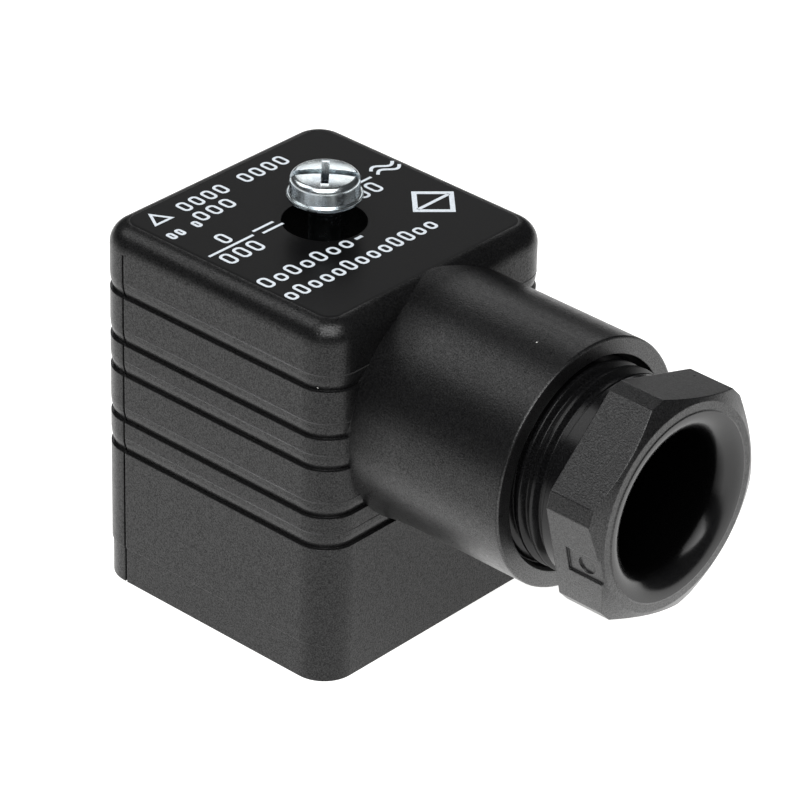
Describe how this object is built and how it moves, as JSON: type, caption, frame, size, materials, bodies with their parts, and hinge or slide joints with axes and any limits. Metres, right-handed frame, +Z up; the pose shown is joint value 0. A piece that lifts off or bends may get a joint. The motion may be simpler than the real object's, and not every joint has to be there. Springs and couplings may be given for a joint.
{
  "type": "solenoid valve connector",
  "caption": "Rectangular cable connector for a solenoid valve: ribbed housing, side cable gland, captive central screw, snap-in contact carrier and rectifier board.",
  "frame": {"origin": "centre of the contact face that lies on the valve coil, on the axis of the fixing screw", "axes": "+Z up the fixing screw towards its head, +X out along the cable gland"},
  "size_m": [0.0544, 0.028, 0.0402],
  "materials": {
    "housing_plastic": "fine matt grain, glass-filled polyamide",
    "nut_plastic": "fine matt grain, glossy in the bore and on the thread",
    "carrier_plastic": "matt moulded polyamide",
    "retainer_plastic": "natural polyamide",
    "washer_steel": "zinc plated",
    "seal_rubber": "matt rubber",
    "oring_rubber": "matt rubber",
    "gasket_rubber": "matt rubber",
    "zinc_steel": "bright blue-white zinc plate",
    "contact_metal": "tin plated",
    "terminal_metal": "bare brass",
    "clamp_steel": "zinc plated",
    "terminal_screw_steel": "zinc plated",
    "board_laminate": "green solder resist",
    "diode_plastic": "moulded case with tinned legs"
  },
  "bodies": {
    "housing": {"housing": "housing_plastic", "screw_retainer": "retainer_plastic", "grommet": "seal_rubber"},
    "thrust_washer": {"thrust_washer": "washer_steel"},
    "gland_nut": {"gland_nut": "nut_plastic"},
    "screw_seal": {"screw_seal": "oring_rubber"},
    "fixing_screw": {"fixing_screw": "zinc_steel"},
    "carrier": {"contact_carrier": "carrier_plastic", "profile_gasket": "gasket_rubber", "contact_1": "contact_metal", "contact_2": "contact_metal", "contact_earth": "contact_metal", "terminal_1": "terminal_metal", "terminal_2": "terminal_metal", "circuit_board": "board_laminate", "diode_1": "diode_plastic", "diode_2": "diode_plastic", "diode_3": "diode_plastic", "diode_4": "diode_plastic"},
    "clamp_1": {"clamp_1": "clamp_steel"},
    "terminal_screw_1": {"terminal_screw_1": "terminal_screw_steel"},
    "clamp_2": {"clamp_2": "clamp_steel"},
    "terminal_screw_2": {"terminal_screw_2": "terminal_screw_steel"},
    "clamp_earth": {"clamp_earth": "clamp_steel"},
    "terminal_screw_earth": {"terminal_screw_earth": "terminal_screw_steel"}
  },
  "joints": [
    {"name": "housing_lift", "type": "slide", "parent": "carrier", "child": "housing", "axis": [0, 0, 1], "range_m": [0, 0.025]},
    {"name": "fixing_screw_travel", "type": "slide", "parent": "housing", "child": "screw_seal", "axis": [0, 0, 1], "range_m": [-0.007, 0.01]},
    {"name": "fixing_screw_turn", "type": "hinge", "parent": "screw_seal", "child": "fixing_screw", "pos_m": [0, 0, 0.0378], "axis": [0, 0, 1], "continuous": true},
    {"name": "gland_travel", "type": "slide", "parent": "housing", "child": "thrust_washer", "axis": [1, 0, 0], "range_m": [-0.0035, 0.0042], "deforming": ["grommet"]},
    {"name": "gland_nut_turn", "type": "hinge", "parent": "thrust_washer", "child": "gland_nut", "pos_m": [0.03037, 0, 0.02406], "axis": [1, 0, 0], "range_deg": [-900, 1080]},
    {"name": "clamp_1_travel", "type": "slide", "parent": "carrier", "child": "clamp_1", "axis": [0, 0, 1], "range_m": [-0.0008, 0.001]},
    {"name": "terminal_screw_1_turn", "type": "hinge", "parent": "clamp_1", "child": "terminal_screw_1", "pos_m": [-0.0015, 0.0071, 0.015], "axis": [0, 0, 1], "range_deg": [-582, 726]},
    {"name": "clamp_2_travel", "type": "slide", "parent": "carrier", "child": "clamp_2", "axis": [0, 0, 1], "range_m": [-0.0008, 0.001]},
    {"name": "terminal_screw_2_turn", "type": "hinge", "parent": "clamp_2", "child": "terminal_screw_2", "pos_m": [-0.0015, -0.0071, 0.015], "axis": [0, 0, 1], "range_deg": [-582, 726]},
    {"name": "clamp_earth_travel", "type": "slide", "parent": "carrier", "child": "clamp_earth", "axis": [0, 0, 1], "range_m": [-0.0008, 0.001]},
    {"name": "terminal_screw_earth_turn", "type": "hinge", "parent": "clamp_earth", "child": "terminal_screw_earth", "pos_m": [-0.0077, 0, 0.015], "axis": [0, 0, 1], "range_deg": [-582, 726]}
  ],
  "couplings": [
    {"joint": "gland_nut_turn", "follows": "gland_travel", "rad_per_m": 4452.7},
    {"joint": "terminal_screw_1_turn", "follows": "clamp_1_travel", "rad_per_m": 12566},
    {"joint": "terminal_screw_2_turn", "follows": "clamp_2_travel", "rad_per_m": 12566},
    {"joint": "terminal_screw_earth_turn", "follows": "clamp_earth_travel", "rad_per_m": 12566}
  ]
}
